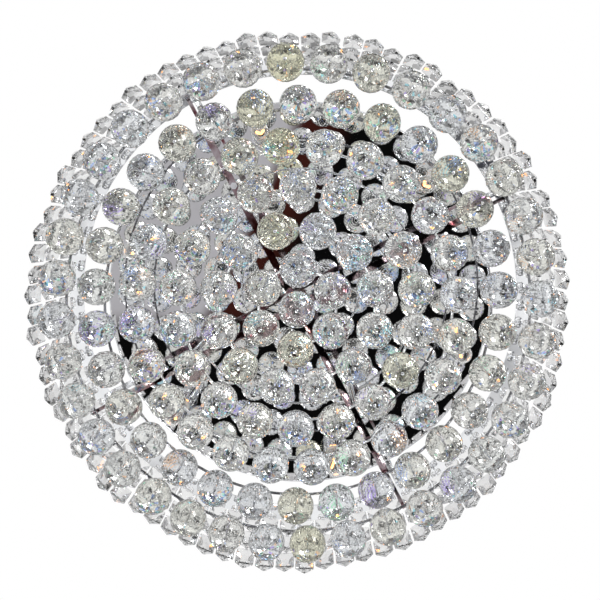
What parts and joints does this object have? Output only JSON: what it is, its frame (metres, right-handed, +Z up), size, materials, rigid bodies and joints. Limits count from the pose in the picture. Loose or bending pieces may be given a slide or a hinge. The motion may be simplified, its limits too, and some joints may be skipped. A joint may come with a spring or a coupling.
{
  "type": "flush mount ceiling light",
  "caption": "Round flush mount ceiling light: mirror canopy with capsule lamps, wire rings of hanging crystal balls, and an outer band of three-tier crystal prism strings.",
  "frame": {"origin": "centre of the four ceiling screw holes, in the plane where the bracket and the canopy's edge meet the ceiling", "axes": "+Z up into the ceiling, the lamp hangs towards -Z; +X is the picture's right, +Y is towards the picture's lower edge"},
  "size_m": [0.5999, 0.6, 0.25],
  "materials": {
    "chrome": "bright chrome plate",
    "mirror_steel": "mirror polished stainless steel",
    "zinc_steel": "zinc plated steel",
    "crystal": "clear cut crystal glass",
    "lamp_glass": "clear capsule lamp, lit",
    "porcelain": "white porcelain",
    "brass": "plain brass",
    "terminal_plastic": "off-white polyamide",
    "black_rubber": "black rubber",
    "brown_lead": "brown lead sleeve",
    "blue_lead": "blue lead sleeve",
    "green_lead": "green and yellow lead sleeve"
  },
  "bodies": {
    "fixture": {"ceiling_bracket": "zinc_steel", "bracket_studs": "zinc_steel", "cap_nuts": "chrome", "canopy_pan": "mirror_steel", "rim_bead": "chrome", "cable_grommet": "black_rubber", "terminal_block": "terminal_plastic", "terminal_screws": "brass", "live_leads": "brown_lead", "neutral_leads": "blue_lead", "earth_lead": "green_lead", "holder_nipples": "zinc_steel", "holder_nuts": "zinc_steel", "holder_flanges": "chrome", "holder_sleeves": "chrome", "holder_cores": "porcelain", "band_arms": "chrome", "band_rivets": "chrome", "outer_band": "chrome", "string_hooks": "chrome", "octagon_beads": "crystal", "string_clips": "chrome", "upper_prisms": "crystal", "middle_prisms": "crystal", "lower_prisms": "crystal", "hanger_posts": "chrome", "post_nuts": "chrome", "cross_bars": "chrome", "wire_ring_1": "chrome", "wire_ring_2": "chrome", "wire_ring_3": "chrome", "wire_ring_4": "chrome", "wire_ring_5": "chrome", "wire_ring_6": "chrome", "ball_ring_2": "crystal", "ball_ring_3": "crystal", "ball_ring_4": "crystal", "ball_ring_5": "crystal", "ball_ring_6": "crystal", "ring_pins": "chrome"},
    "lamp_1": {"bulb_1": "lamp_glass"},
    "lamp_2": {"bulb_2": "lamp_glass"},
    "lamp_3": {"bulb_3": "lamp_glass"},
    "lamp_4": {"bulb_4": "lamp_glass"},
    "lamp_5": {"bulb_5": "lamp_glass"},
    "lamp_6": {"bulb_6": "lamp_glass"},
    "centre_drop": {"centre_ball": "crystal", "centre_pin": "chrome"},
    "inner_drop_1": {"inner_ball_1": "crystal", "inner_pin_1": "chrome"},
    "inner_drop_2": {"inner_ball_2": "crystal", "inner_pin_2": "chrome"},
    "inner_drop_3": {"inner_ball_3": "crystal", "inner_pin_3": "chrome"},
    "inner_drop_4": {"inner_ball_4": "crystal", "inner_pin_4": "chrome"},
    "inner_drop_5": {"inner_ball_5": "crystal", "inner_pin_5": "chrome"},
    "inner_drop_6": {"inner_ball_6": "crystal", "inner_pin_6": "chrome"}
  },
  "joints": [
    {"name": "lamp_1_pull", "type": "slide", "parent": "fixture", "child": "lamp_1", "axis": [0, 0, -1], "range_m": [0, 0.03]},
    {"name": "lamp_2_pull", "type": "slide", "parent": "fixture", "child": "lamp_2", "axis": [0, 0, -1], "range_m": [0, 0.03]},
    {"name": "lamp_3_pull", "type": "slide", "parent": "fixture", "child": "lamp_3", "axis": [0, 0, -1], "range_m": [0, 0.03]},
    {"name": "lamp_4_pull", "type": "slide", "parent": "fixture", "child": "lamp_4", "axis": [0, 0, -1], "range_m": [0, 0.03]},
    {"name": "lamp_5_pull", "type": "slide", "parent": "fixture", "child": "lamp_5", "axis": [0, 0, -1], "range_m": [0, 0.03]},
    {"name": "lamp_6_pull", "type": "slide", "parent": "fixture", "child": "lamp_6", "axis": [0, 0, -1], "range_m": [0, 0.03]},
    {"name": "centre_drop_swing", "type": "hinge", "parent": "fixture", "child": "centre_drop", "pos_m": [0, 0, -0.192], "axis": [0.4664, 0.8846, 0], "range_deg": [-2, 2]},
    {"name": "inner_drop_1_swing", "type": "hinge", "parent": "fixture", "child": "inner_drop_1", "pos_m": [0.03643, 0.02285, -0.192], "axis": [0.5314, -0.8471, 0], "range_deg": [-2, 4]},
    {"name": "inner_drop_2_swing", "type": "hinge", "parent": "fixture", "child": "inner_drop_2", "pos_m": [-0.00158, 0.04297, -0.192], "axis": [0.9993, 0.0366, 0], "range_deg": [-2, 4]},
    {"name": "inner_drop_3_swing", "type": "hinge", "parent": "fixture", "child": "inner_drop_3", "pos_m": [-0.038, 0.02012, -0.192], "axis": [0.4679, 0.8838, 0], "range_deg": [-2, 4]},
    {"name": "inner_drop_4_swing", "type": "hinge", "parent": "fixture", "child": "inner_drop_4", "pos_m": [-0.03643, -0.02285, -0.192], "axis": [-0.5314, 0.8471, 0], "range_deg": [-2, 4]},
    {"name": "inner_drop_5_swing", "type": "hinge", "parent": "fixture", "child": "inner_drop_5", "pos_m": [0.00158, -0.04297, -0.192], "axis": [-0.9993, -0.0366, 0], "range_deg": [-2, 4]},
    {"name": "inner_drop_6_swing", "type": "hinge", "parent": "fixture", "child": "inner_drop_6", "pos_m": [0.038, -0.02012, -0.192], "axis": [-0.4679, -0.8838, 0], "range_deg": [-2, 4]}
  ]
}
